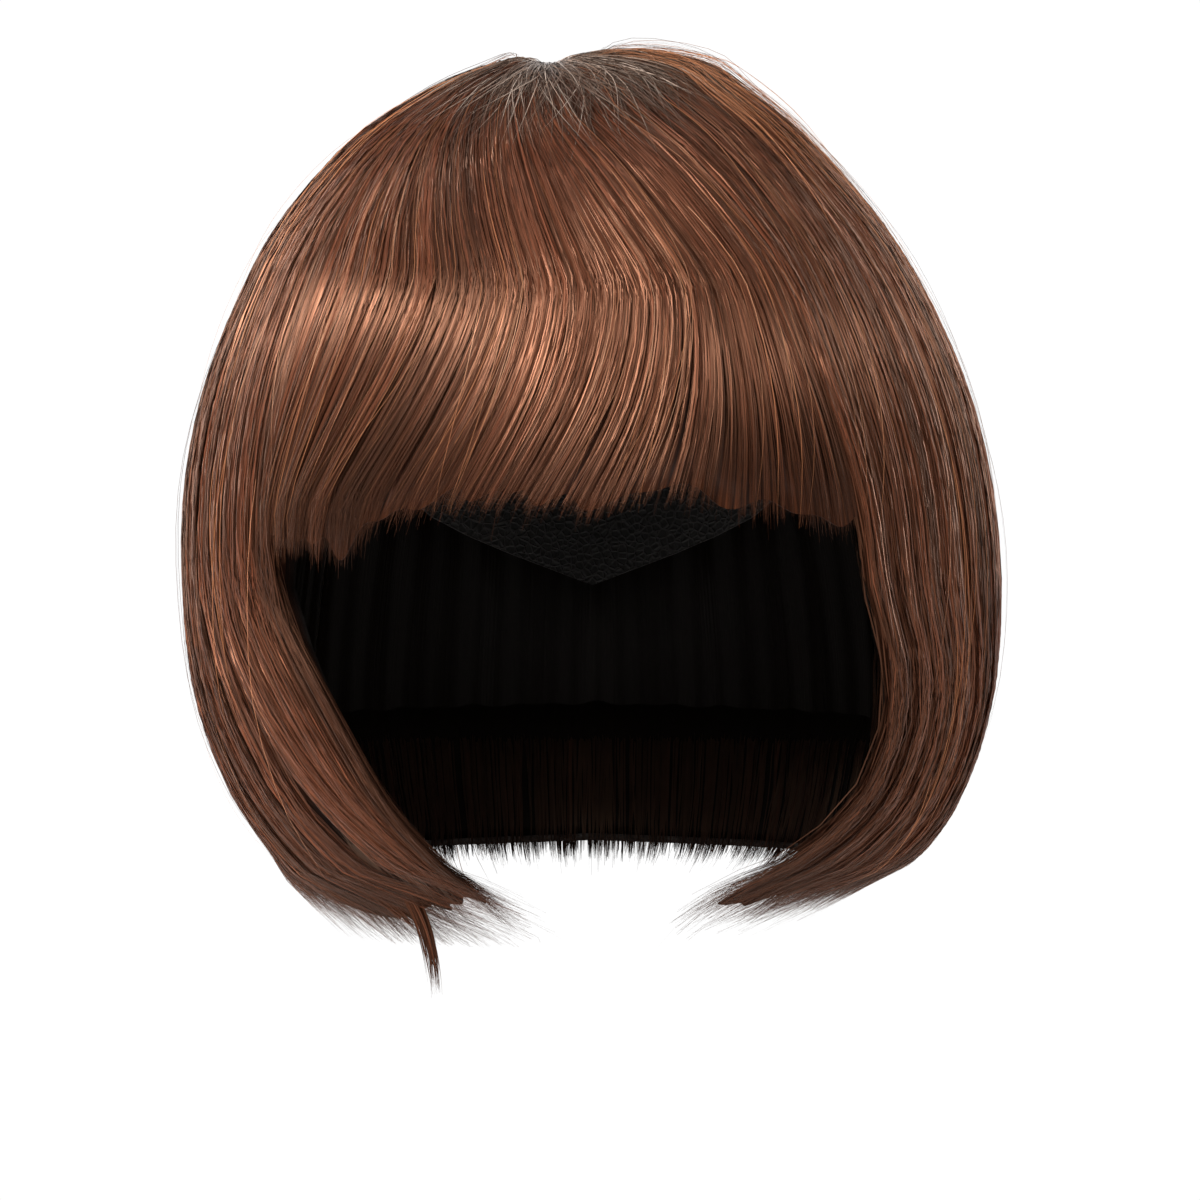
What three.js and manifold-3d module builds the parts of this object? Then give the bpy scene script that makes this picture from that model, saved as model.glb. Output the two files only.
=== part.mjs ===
// A chin-length bob wig with a full fringe, in millimetres.
// +Z is up, the wearer faces -Y and +X is the wearer's left.
// The origin is the inside top of the cap, where the wearer's crown sits.
//
// The hair is one bell-shaped surface, described by stations that run down the strands from the
// parting to the hem. Each section of hair is a wall under a sector of that surface: it sits on
// the cap as far as the cap reaches, and below the cap it hangs free and thins towards its tips.
import * as THREE from 'three';
import { LoftGeometry } from 'three/addons/geometries/LoftGeometry.js';
import { mergeVertices } from 'three/addons/utils/BufferGeometryUtils.js';
import Module from 'manifold-3d';

const wasm = await Module();
wasm.setup();

const { degToRad, lerp, smoothstep, clamp } = THREE.MathUtils;

// The head that the cap fits.
const headHalfBreadth = 77;
const headHalfLength = 97;
const headDomeHeight = 85; // from the crown down to the widest level
const napeInset = 17; // how far the nape lies in front of the back of the skull
const napeDrop = 60; // from the widest level down to the nape

// The cap and the parting patch sewn on it.
const capWall = 1.5;
const patchWall = 1.2;
const partingOffset = 12; // from the middle, towards the wearer's right
const partingHalfWidth = 8;
const partingFront = 34;
const partingBack = 24;

// The hair.
const crownDepth = 7.2; // over the cap at the crown
const sideFullness = 36; // beyond the head at the widest place
const frontFullness = 11;
const backFullness = 24;
const hairDrop = 229; // from the top of the hair to the hem at the wearer's left jaw
const partingSink = 5.4; // of the parting below the top of the hair
const hemDepth = 3.2; // thickness of the hair at its tips
const underRootDrop = 0.35; // of a station, from where an under-layer starts to its first row of points
const underShare = 0.5; // share of the depth below the cap that the under-layer takes
const frontEdgeShare = 0.35; // of the depth, which is left at the front edge of a side
const underInset = 4; // degrees by which the under-layer lies behind a side's front edge
const frontEdgeReach = 0.35; // share of a side's width over which it thins towards that edge
const lockPitch = 10; // degrees from one lock to the next
const lockGroove = 1.5; // depth of the groove between two locks
const lockNotch = 0.22; // of a station, between the tips of two locks

// The gaps between pieces that touch: side by side, and between the hair and the cap it is sewn to.
const seam = 0.4;
const capGap = 1;

// The loose lock that hangs below the hem on the wearer's right. Its bend and its end are shares of
// its length, from the place where it leaves the hair.
const looseLockAngle = -44; // degrees round the parting
const looseLockStation = 12.8;
const looseLockLength = 30;
const looseLockWidth = 9;
const looseLockDepth = 3;
const looseLockTip = 0.12; // share of its width left at the tip
const looseLockBend = new THREE.Vector3(0.08, -0.22, -0.48);
const looseLockEnd = new THREE.Vector3(0.40, -0.10, -1);

// Where the sections of hair meet, in degrees round the parting: 0 is the front, 90 the wearer's left.
const fringeLeft = 36;
const fringeRight = -49;
const sideBack = 122;

const halfWidth = headHalfBreadth + sideFullness;
const frontReach = headHalfLength + frontFullness;
const backReach = headHalfLength + backFullness;
const hairTop = capWall + crownDepth;
const headMiddle = new THREE.Vector3(0, 0, -headDomeHeight);

// The outer surface of the hair, a row for each station down the strands. drop and the two dips are
// shares of hairDrop, and the dips are how much lower the surface is at the front and the back than
// at the sides. side and shift are shares of halfWidth, front of frontReach and back of backReach.
const surfaceRows = [
	{
		drop: partingSink / hairDrop, frontDip: 0.022, backDip: 0.011, side: partingHalfWidth / halfWidth,
		shift: -partingOffset / halfWidth, front: partingFront / frontReach, back: partingBack / backReach,
	},
	{ drop: 0.002, frontDip: 0.037, backDip: 0.017, side: 0.140, shift: -0.050, front: 0.389, back: 0.281 },
	{ drop: 0.017, frontDip: 0.046, backDip: 0.032, side: 0.272, shift: 0.010, front: 0.500, back: 0.446 },
	{ drop: 0.047, frontDip: 0.059, backDip: 0.060, side: 0.391, shift: -0.012, front: 0.630, back: 0.612 },
	{ drop: 0.103, frontDip: 0.063, backDip: 0.072, side: 0.555, shift: -0.027, front: 0.778, back: 0.760 },
	{ drop: 0.197, frontDip: 0.052, backDip: 0.070, side: 0.725, shift: -0.028, front: 0.889, back: 0.884 },
	{ drop: 0.290, frontDip: 0.041, backDip: 0.059, side: 0.838, shift: -0.021, front: 0.954, back: 0.955 },
	{ drop: 0.403, frontDip: 0.026, backDip: 0.039, side: 0.933, shift: -0.015, front: 0.991, back: 0.992 },
	{ drop: 0.520, frontDip: 0.009, backDip: 0.009, side: 0.986, shift: -0.009, front: 1.000, back: 1.000 },
	{ drop: 0.646, frontDip: 0, backDip: 0, side: 1.000, shift: 0, front: 0.972, back: 0.983 },
	{ drop: 0.777, frontDip: 0, backDip: 0, side: 0.975, shift: 0.005, front: 0.926, back: 0.926 },
	{ drop: 0.890, frontDip: 0, backDip: 0, side: 0.894, shift: 0.012, front: 0.852, back: 0.818 },
	{ drop: 0.964, frontDip: 0, backDip: 0, side: 0.792, shift: 0.010, front: 0.741, back: 0.694 },
	{ drop: 1.000, frontDip: 0, backDip: 0, side: 0.705, shift: -0.030, front: 0.630, back: 0.579 },
	{ drop: 1.065, frontDip: 0, backDip: 0, side: 0.520, shift: -0.080, front: 0.463, back: 0.430 },
];
const templeStation = 7; // the last row of points down the fringe before its hem
const browStation = 8; // where the sides of the bob stop meeting the fringe
const hangStation = 9; // where the hair hangs plumb and no trace of the parting's offset is left
const jawStation = 12; // the last row of points down the bob before its hem

// The front edge of the hair at each side below the fringe, in degrees.
const sideEdges = [
	{ station: 9, left: fringeLeft, right: fringeRight },
	{ station: 10, left: 46, right: -39 },
	{ station: 11, left: 48, right: -33 },
	{ station: 12, left: 43, right: -27 },
	{ station: 13, left: 39, right: -23 },
	{ station: 14, left: 36, right: -21 },
];

// The station at which the hair ends, all round below the fringe, and at the fringe's own hem.
const hemRows = [
	{ degrees: -180, station: 12.50 },
	{ degrees: -122, station: 12.80 },
	{ degrees: -90, station: 13.35 },
	{ degrees: -75, station: 13.60 },
	{ degrees: -50, station: 13.95 },
	{ degrees: -25, station: 13.30 },
	{ degrees: 40, station: 13.45 },
	{ degrees: 60, station: 13.42 },
	{ degrees: 90, station: 13.20 },
	{ degrees: 122, station: 12.80 },
	{ degrees: 180, station: 12.50 },
];
const fringeHemRows = [
	{ degrees: -49, station: 8.58 },
	{ degrees: -42, station: 8.60 },
	{ degrees: -36, station: 8.70 },
	{ degrees: -31, station: 8.46 },
	{ degrees: -20, station: 8.18 },
	{ degrees: -8, station: 8.18 },
	{ degrees: -1, station: 8.28 },
	{ degrees: 7, station: 8.10 },
	{ degrees: 18, station: 8.20 },
	{ degrees: 26, station: 8.30 },
	{ degrees: 36, station: 8.42 },
];

// How far below the crown the edge of the cap lies, from the hairline round the ear tab to the nape,
// as shares of the height to the widest level.
const capEdgeRows = [
	{ degrees: 0, drop: 0.68 },
	{ degrees: 35, drop: 0.75 },
	{ degrees: 60, drop: 0.98 },
	{ degrees: 78, drop: 1.32 },
	{ degrees: 94, drop: 1.32 },
	{ degrees: 115, drop: 1.14 },
	{ degrees: 145, drop: 1.40 },
	{ degrees: 180, drop: 1.62 },
];

/** A smooth reading of a table: a function from a value of its key column to a row of the others. */
function reader(rows, key) {
	const names = Object.keys(rows[0]).filter((name) => name !== key);
	const keys = rows.map((row, index) => (key ? row[key] : index));
	const values = rows.flatMap((row) => names.map((name) => row[name]));
	const spline = new THREE.CubicInterpolant(keys, values, names.length);
	return (at) => {
		const found = spline.evaluate(clamp(at, keys[0], keys[keys.length - 1]));
		return Object.fromEntries(names.map((name, index) => [name, found[index]]));
	};
}

const surfaceAt = reader(surfaceRows);
const sideEdgeAt = reader(sideEdges, 'station');
const hemAt = reader(hemRows, 'degrees');
const fringeHemAt = reader(fringeHemRows, 'degrees');
const capEdgeAt = reader(capEdgeRows, 'degrees');

/** The point of the hair's outer surface at an angle round the parting, at a station down the strand. */
function hairPoint(degrees, station) {
	const row = surfaceAt(station);
	const angle = degToRad(degrees);
	const across = Math.sin(angle);
	const ahead = Math.cos(angle);
	const lean = -partingOffset * (1 - smoothstep(station, 0, hangStation));
	const front = row.front * frontReach;
	const back = row.back * backReach;
	const dip = ahead > 0 ? row.frontDip : row.backDip;
	return new THREE.Vector3(
		row.side * halfWidth * across + row.shift * halfWidth * across ** 2 + lean * ahead ** 2,
		(back - front) / 2 - ((back + front) / 2) * ahead,
		hairTop - hairDrop * (row.drop + dip * ahead ** 2),
	);
}

/** The half length of the head at the front or the back, at a height. The nape lies further in. */
function headLengthAt(height, atBack) {
	const below = clamp((-headDomeHeight - height) / napeDrop, 0, 1);
	return headHalfLength - (atBack ? napeInset * below ** 2 : 0);
}

/** The point of the head's form, grown by a distance, in line from the head's middle to a point. */
function onHead(point, grown) {
	const reach = point.clone().sub(headMiddle);
	if (reach.z < 0) reach.z = 0;
	const length = headLengthAt(point.z, point.y > 0) + grown;
	const share = Math.hypot(
		reach.x / (headHalfBreadth + grown),
		reach.y / length,
		reach.z / (headDomeHeight + grown),
	);
	return point.clone().addScaledVector(reach, 1 / share - 1);
}

/** The unit vector from a point of the hair towards the head. */
function towardsHead(point) {
	const reach = headMiddle.clone().sub(point);
	if (reach.z > 0) reach.z = 0;
	return reach.normalize();
}

/** The inward normal of the hair's outer surface. */
function inwardNormal(degrees, station) {
	const step = 0.05;
	const along = hairPoint(degrees, station + step).sub(hairPoint(degrees, station - step));
	const round = hairPoint(degrees + 1, station).sub(hairPoint(degrees - 1, station));
	return round.cross(along).normalize();
}

/** The station at which the hair at an angle passes the edge of the cap, found by halving. */
function capEdgeStation(degrees) {
	const height = -headDomeHeight * capEdgeAt(Math.abs(degrees)).drop;
	let above = 0;
	let below = hangStation + 1;
	for (let i = 0; i < 20; i++) {
		const station = (above + below) / 2;
		if (onHead(hairPoint(degrees, station), capWall).z > height) above = station;
		else below = station;
	}
	return above;
}

/** The hair's outer point and the point under it on its inner face, at an angle and a station. */
function wallAt(degrees, station, hem) {
	const outer = hairPoint(degrees, station);
	const edge = capEdgeStation(degrees);
	if (station <= edge) return { outer, inner: onHead(outer, capWall + capGap) };
	const atEdge = hairPoint(degrees, edge);
	const fullDepth = atEdge.distanceTo(onHead(atEdge, capWall + capGap));
	const free = Math.min((station - edge) / (hem - edge), 1);
	const inward = towardsHead(outer).lerp(inwardNormal(degrees, station), free).normalize();
	const inner = outer.clone().addScaledVector(inward, lerp(fullDepth, hemDepth, free));
	return { outer, inner };
}

/** How near an angle is to the crest of its lock: 1 on the crest and 0 in the groove. */
function lockCrest(degrees) {
	const turn = degrees / lockPitch;
	return Math.sqrt(Math.abs(Math.sin(Math.PI * turn)));
}

/** One closed solid from a closed mesh, its vertices merged, and its faces without width gone. */
function solidFrom(geometry) {
	const bare = new THREE.BufferGeometry();
	bare.setIndex(geometry.index);
	bare.setAttribute('position', geometry.getAttribute('position'));
	const merged = mergeVertices(bare, 1e-3);
	return new wasm.Manifold(new wasm.Mesh({
		numProp: 3,
		vertProperties: merged.getAttribute('position').array,
		triVerts: new Uint32Array(merged.index.array),
	}));
}

/** The geometry of a solid. */
function geometryOf(solid) {
	const mesh = solid.getMesh();
	const geometry = new THREE.BufferGeometry();
	geometry.setAttribute('position', new THREE.BufferAttribute(mesh.vertProperties, mesh.numProp));
	geometry.setIndex(new THREE.BufferAttribute(mesh.triVerts, 1));
	geometry.computeVertexNormals();
	return geometry;
}

/** A slice with its inner face folded onto its outer one, which closes the end of a loft. */
function closing(section) {
	return section.map((_, index) => section[Math.min(index, section.length - 1 - index)]);
}

/**
 * A wall of hair between two edges, lofted through the slices that lie between them.
 * Each slice runs down the outer face from its root to its tip and up the inner face again, through
 * one point for each station of the rows, one halfway to the tip and one at the tip.
 * layer says which share of the depth the wall fills: it returns the outer and the inner share.
 */
function hairSection({ edges, rows, hemOf, slices, layer, thinning = () => 1 }) {
	const slice = (share) => {
		const degreesAt = (station) => {
			const [low, high] = edges(station);
			const width = hairPoint(high, station).distanceTo(hairPoint(low, station)) / (high - low);
			return lerp(low + seam / 2 / width, high - seam / 2 / width, share);
		};
		const hem = hemOf(degreesAt(jawStation));
		const crest = lockCrest(degreesAt(jawStation));
		const tip = hem - lockNotch * (1 - crest);
		const pointAt = (station, face) => {
			const { outer, inner } = wallAt(degreesAt(station), station, hem);
			const depth = outer.distanceTo(inner);
			const { from, to } = layer(station, depth);
			const kept = lerp(1, thinning(share), smoothstep(station, browStation, hangStation));
			const groove = lockGroove * (1 - crest) * smoothstep(station, 0, browStation);
			const grooved = Math.min(from + groove / depth, lerp(from, to, 0.5));
			return outer.lerp(inner, face === 'outer' ? grooved : lerp(from, to, kept));
		};
		const stations = [...rows, lerp(rows[rows.length - 1], tip, 0.5), tip];
		return [
			...stations.map((station) => pointAt(station, 'outer')),
			...stations.reverse().map((station) => pointAt(station, 'inner')),
		];
	};
	const sections = Array.from({ length: slices + 1 }, (_, index) => slice(index / slices));
	return solidFrom(new LoftGeometry([closing(sections[0]), ...sections, closing(sections[slices])]));
}

/** The whole stations from one to another. */
function stationsBetween(first, last) {
	return Array.from({ length: last - first + 1 }, (_, index) => first + index);
}

/** The stations of an under-layer, whose root lies a little below the place where it starts. */
function underRows(underStart) {
	return [underStart + underRootDrop, ...stationsBetween(underStart + 1, jawStation)];
}

/** The stations of a top layer, with every one of those of the under-layer beneath it. */
function topRows(underStart) {
	return [...stationsBetween(0, underStart), ...underRows(underStart)];
}

/** The share of the depth left to the top layer where an under-layer hangs beneath it. */
function topShare(station, underStart) {
	return 1 - underShare * clamp(station - underStart, 0, 1);
}

/** The top layer over an under-layer that starts at a station. */
const topOver = (underStart) => (station) => ({ from: 0, to: topShare(station, underStart) });

/** The under-layer itself, inside the top layer by the seam. */
const underFrom = (underStart) => (station, depth) => (
	{ from: Math.min(topShare(station, underStart) + seam / depth, 1), to: 1 });

/** The whole depth, for hair with no under-layer. */
const wholeDepth = () => ({ from: 0, to: 1 });

/** A side thins out towards its front edge, which is its low edge at the left and high at the right. */
const thinAtLow = (share) => lerp(frontEdgeShare, 1, smoothstep(share, 0, frontEdgeReach));
const thinAtHigh = (share) => thinAtLow(1 - share);

const hemStation = (degrees) => hemAt(degrees).station;
const backHemStation = (degrees) => hemStation(degrees > 180 ? degrees - 360 : degrees);

/** The fringe, from the parting to the brow. */
function fringe() {
	return hairSection({
		edges: () => [fringeRight, fringeLeft],
		rows: stationsBetween(0, templeStation),
		hemOf: (degrees) => fringeHemAt(degrees).station,
		slices: 40,
		layer: wholeDepth,
	});
}

/** The top layer of a side, from the parting to the jaw. */
function topSide(edges, thinning) {
	const rows = topRows(browStation);
	const layer = topOver(browStation);
	return hairSection({ edges, rows, hemOf: hemStation, slices: 30, layer, thinning });
}

/** The under-layer of a side, which hangs from the cap's ear tab. */
function underSide(edges, thinning) {
	const rows = underRows(browStation);
	const layer = underFrom(browStation);
	return hairSection({ edges, rows, hemOf: hemStation, slices: 20, layer, thinning });
}

/** The back from one side to the other, either its top layer or its under-layer. */
function backWall(rows, slices, layer) {
	const edges = () => [sideBack, 360 - sideBack];
	return hairSection({ edges, rows, hemOf: backHemStation, slices, layer });
}

/** The cap: the head's form with an edge that runs from the hairline round the ears to the nape. */
function cap() {
	const turns = 40;
	const steps = 8;
	const pointAt = (degrees, fall, grown) => {
		const edge = headDomeHeight * capEdgeAt(Math.abs(degrees)).drop;
		const domeLength = headDomeHeight * Math.PI / 2;
		const domeEdge = headDomeHeight * Math.acos(Math.max(1 - edge / headDomeHeight, 0));
		const along = fall * (domeEdge + Math.max(edge - headDomeHeight, 0));
		const bend = Math.min(along, domeLength) / headDomeHeight;
		const height = (headDomeHeight + grown) * Math.cos(bend) - headDomeHeight - Math.max(along - domeLength, 0);
		const angle = degToRad(degrees);
		const length = headLengthAt(height, Math.cos(angle) < 0) + grown;
		return new THREE.Vector3(
			(headHalfBreadth + grown) * Math.sin(bend) * Math.sin(angle),
			-length * Math.sin(bend) * Math.cos(angle),
			height,
		);
	};
	const sections = Array.from({ length: turns + 1 }, (_, index) => {
		const degrees = -180 + (360 * (index % turns)) / turns;
		const down = Array.from({ length: steps + 1 }, (_, i) => pointAt(degrees, i / steps, capWall));
		const up = Array.from({ length: steps + 1 }, (_, i) => pointAt(degrees, 1 - i / steps, 0));
		return [...down, ...up];
	});
	return solidFrom(new LoftGeometry(sections));
}

/** The parting patch: a curved oval plate on the cap, which the hair grows out from all round. */
function partingPatch() {
	const turns = 24;
	const rings = 2;
	const middle = hairPoint(-90, 0).lerp(hairPoint(90, 0), 0.5);
	const pointAt = (degrees, share, grown) => {
		const edge = hairPoint(degrees, 0);
		const reach = edge.clone().sub(middle);
		reach.multiplyScalar(share * (1 - seam / Math.hypot(reach.x, reach.y)));
		return onHead(middle.clone().add(reach), grown);
	};
	const sections = Array.from({ length: turns + 1 }, (_, index) => {
		const degrees = (360 * (index % turns)) / turns;
		const top = Array.from({ length: rings + 1 }, (_, i) => (
			pointAt(degrees, i / rings, capWall + seam + patchWall)));
		const bottom = Array.from({ length: rings + 1 }, (_, i) => (
			pointAt(degrees, 1 - i / rings, capWall + seam)));
		return [...top, ...bottom];
	});
	return solidFrom(new LoftGeometry(sections));
}

/** A tapering lock that leaves the hair above the hem at the wearer's right and hangs below it. */
function looseLock() {
	const steps = 8;
	const sides = 8;
	const start = hairPoint(looseLockAngle, looseLockStation);
	const path = new THREE.QuadraticBezierCurve3(
		start,
		start.clone().addScaledVector(looseLockBend, looseLockLength),
		start.clone().addScaledVector(looseLockEnd, looseLockLength),
	);
	const sections = Array.from({ length: steps + 1 }, (_, index) => {
		const share = index / steps;
		const centre = path.getPoint(share);
		const down = path.getTangent(share);
		const across = new THREE.Vector3(1, 0, 0).projectOnPlane(down).normalize();
		const ahead = down.clone().cross(across);
		const size = lerp(1, looseLockTip, share);
		return Array.from({ length: sides }, (_, corner) => {
			const turn = (corner / sides) * 2 * Math.PI;
			return centre.clone()
				.addScaledVector(across, 0.5 * looseLockWidth * size * Math.cos(turn))
				.addScaledVector(ahead, 0.5 * looseLockDepth * size * Math.sin(turn));
		});
	});
	return solidFrom(new LoftGeometry(sections, { capStart: true, capEnd: true }));
}

const topHair = new THREE.MeshStandardMaterial({ color: 0x6a3f2b, roughness: 0.45, metalness: 0 });
const underHair = new THREE.MeshStandardMaterial({ color: 0x2c1912, roughness: 0.55, metalness: 0 });
const capNet = new THREE.MeshStandardMaterial({ color: 0x14100e, roughness: 0.85, metalness: 0 });
const partingLace = new THREE.MeshStandardMaterial({ color: 0x4a3830, roughness: 0.7, metalness: 0 });

const wig = new THREE.Group();
wig.name = 'bob_wig';

/** Adds a solid to the wig as a named mesh. */
function addPiece(name, solid, material) {
	const mesh = new THREE.Mesh(geometryOf(solid), material);
	mesh.name = name;
	wig.add(mesh);
}

const leftEdges = (inset) => (station) => [sideEdgeAt(station).left + inset, sideBack];
const rightEdges = (inset) => (station) => [-sideBack, sideEdgeAt(station).right - inset];

addPiece('cap', cap(), capNet);
addPiece('parting_patch', partingPatch(), partingLace);
addPiece('fringe', fringe(), topHair);
addPiece('side_left', topSide(leftEdges(0), thinAtLow), topHair);
addPiece('side_right', topSide(rightEdges(0), thinAtHigh).add(looseLock()), topHair);
addPiece('back', backWall(topRows(hangStation), 40, topOver(hangStation)), topHair);
addPiece('under_left', underSide(leftEdges(underInset), thinAtLow), underHair);
addPiece('under_right', underSide(rightEdges(underInset), thinAtHigh), underHair);
addPiece('under_back', backWall(underRows(hangStation), 24, underFrom(hangStation)), underHair);

export default wig;
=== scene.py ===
"""A chin-length bob wig with a full fringe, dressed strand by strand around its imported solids.

Lengths are in millimetres until a mesh is made, and Blender's own are metres. +Z is up, the
wearer faces -Y and +X is the wearer's left. The origin is the inside top of the cap.
"""

from __future__ import annotations

import logging
import math
from collections.abc import Mapping, Sequence
from dataclasses import dataclass, field
from enum import Enum

import bpy
import numpy as np
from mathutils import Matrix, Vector

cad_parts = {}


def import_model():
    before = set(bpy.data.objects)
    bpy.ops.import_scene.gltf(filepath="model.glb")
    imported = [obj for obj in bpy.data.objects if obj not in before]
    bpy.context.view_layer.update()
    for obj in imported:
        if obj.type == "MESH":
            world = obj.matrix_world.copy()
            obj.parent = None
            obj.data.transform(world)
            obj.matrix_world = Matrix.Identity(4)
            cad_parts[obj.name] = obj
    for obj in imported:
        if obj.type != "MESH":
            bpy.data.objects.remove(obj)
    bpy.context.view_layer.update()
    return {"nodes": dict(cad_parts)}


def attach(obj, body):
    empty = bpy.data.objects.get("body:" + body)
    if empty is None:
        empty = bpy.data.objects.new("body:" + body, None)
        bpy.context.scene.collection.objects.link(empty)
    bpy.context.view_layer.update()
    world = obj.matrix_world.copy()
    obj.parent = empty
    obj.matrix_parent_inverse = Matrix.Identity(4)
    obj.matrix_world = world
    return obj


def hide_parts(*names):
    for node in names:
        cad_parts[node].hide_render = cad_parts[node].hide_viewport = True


LOG = logging.getLogger("bob_wig")
MM = 0.001
BODY = "root"
ATLAS_MAP = "OFBake"

HANG_STATION = 9.0  # where the hair hangs plumb, with no trace of the parting's offset
JAW_STATION = 12.0  # the station at which a strand's place along the hem is read
TIP_STATION = 13.2  # where the sweep of the tips is read, to see how low they end
LOWEST_STATION = 13.7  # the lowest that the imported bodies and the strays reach
LAST_STATION = 14.0

FIBRE_IOR = 1.55  # typical for drawn synthetic hair fibre
CELL_ASPECT = 6  # how many times as tall as wide a strand's cell on the atlas is
ALONG_MAP = {"direction_type": "UV_MAP", "uv_map": ATLAS_MAP}  # the way strands run
MIX_COLOURS = {"data_type": "RGBA"}
MIX_A, MIX_B, MIX_RESULT = 6, 7, 2  # the Mix node's sockets for colours

Array = np.ndarray


def smooth(value: Array | float, low: float, high: float) -> Array:
    """Gives 0 up to low, 1 from high on, and the smooth S of 3t^2 - 2t^3 between them."""
    t = np.clip((np.asarray(value, float) - low) / (high - low), 0.0, 1.0)
    return t * t * (3.0 - 2.0 * t)


def unit(vectors: Array) -> Array:
    """Scales each vector of an array to a length of one."""
    return vectors / np.maximum(np.linalg.norm(vectors, axis=-1, keepdims=True), 1e-12)


def mix(low: Array | float, high: Array | float, share: Array | float) -> Array:
    """Goes in a straight line from low at share 0 to high at share 1."""
    return low + (high - low) * share


def linear(colour: str) -> tuple[float, float, float, float]:
    """Turns an sRGB hex colour into the linear red, green, blue and alpha that Blender uses."""
    parts = np.array([int(colour[i : i + 2], 16) for i in (1, 3, 5)]) / 255.0
    value = np.where(parts <= 0.04045, parts / 12.92, ((parts + 0.055) / 1.055) ** 2.4)
    return (*(float(part) for part in value), 1.0)


@dataclass(frozen=True)
class Curve:
    """A smooth curve through the rows of a table, read for whole arrays at a time.

    Between two keys it is the cubic whose slope at each of them is the mean of the slopes of the
    two chords that meet there. At the table's ends the slope is the end chord's own.
    """

    keys: Array
    values: Array

    @classmethod
    def through(cls, rows: Sequence[Sequence[float]]) -> Curve:
        """Makes a curve from rows that start with their key."""
        table = np.array(rows, float)
        return cls(table[:, 0], table[:, 1:])

    def __call__(self, at: Array | float) -> Array:
        """Reads every column at each key of an array.

        Args:
            at: keys, of any shape. Those beyond the table read its ends.

        Returns:
            An array of that shape with one more axis, the columns.
        """
        at = np.clip(np.asarray(at, float), self.keys[0], self.keys[-1])
        chords = np.diff(self.values, axis=0) / np.diff(self.keys)[:, None]
        slopes = np.concatenate([chords[:1], (chords[:-1] + chords[1:]) / 2, chords[-1:]])
        low = np.clip(np.searchsorted(self.keys, at, side="right") - 1, 0, len(chords) - 1)
        span = (self.keys[low + 1] - self.keys[low])[..., None]
        p = (at - self.keys[low])[..., None] / span
        return (
            (1 + 2 * p) * (1 - p) ** 2 * self.values[low]
            + p * (1 - p) ** 2 * span * slopes[low]
            + p * p * (3 - 2 * p) * self.values[low + 1]
            + p * p * (p - 1) * span * slopes[low + 1]
        )


class Section(Enum):
    """The sections of hair that are sewn to the cap."""

    FRINGE = "fringe"
    LEFT = "side_left"
    RIGHT = "side_right"
    BACK = "back"


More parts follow.
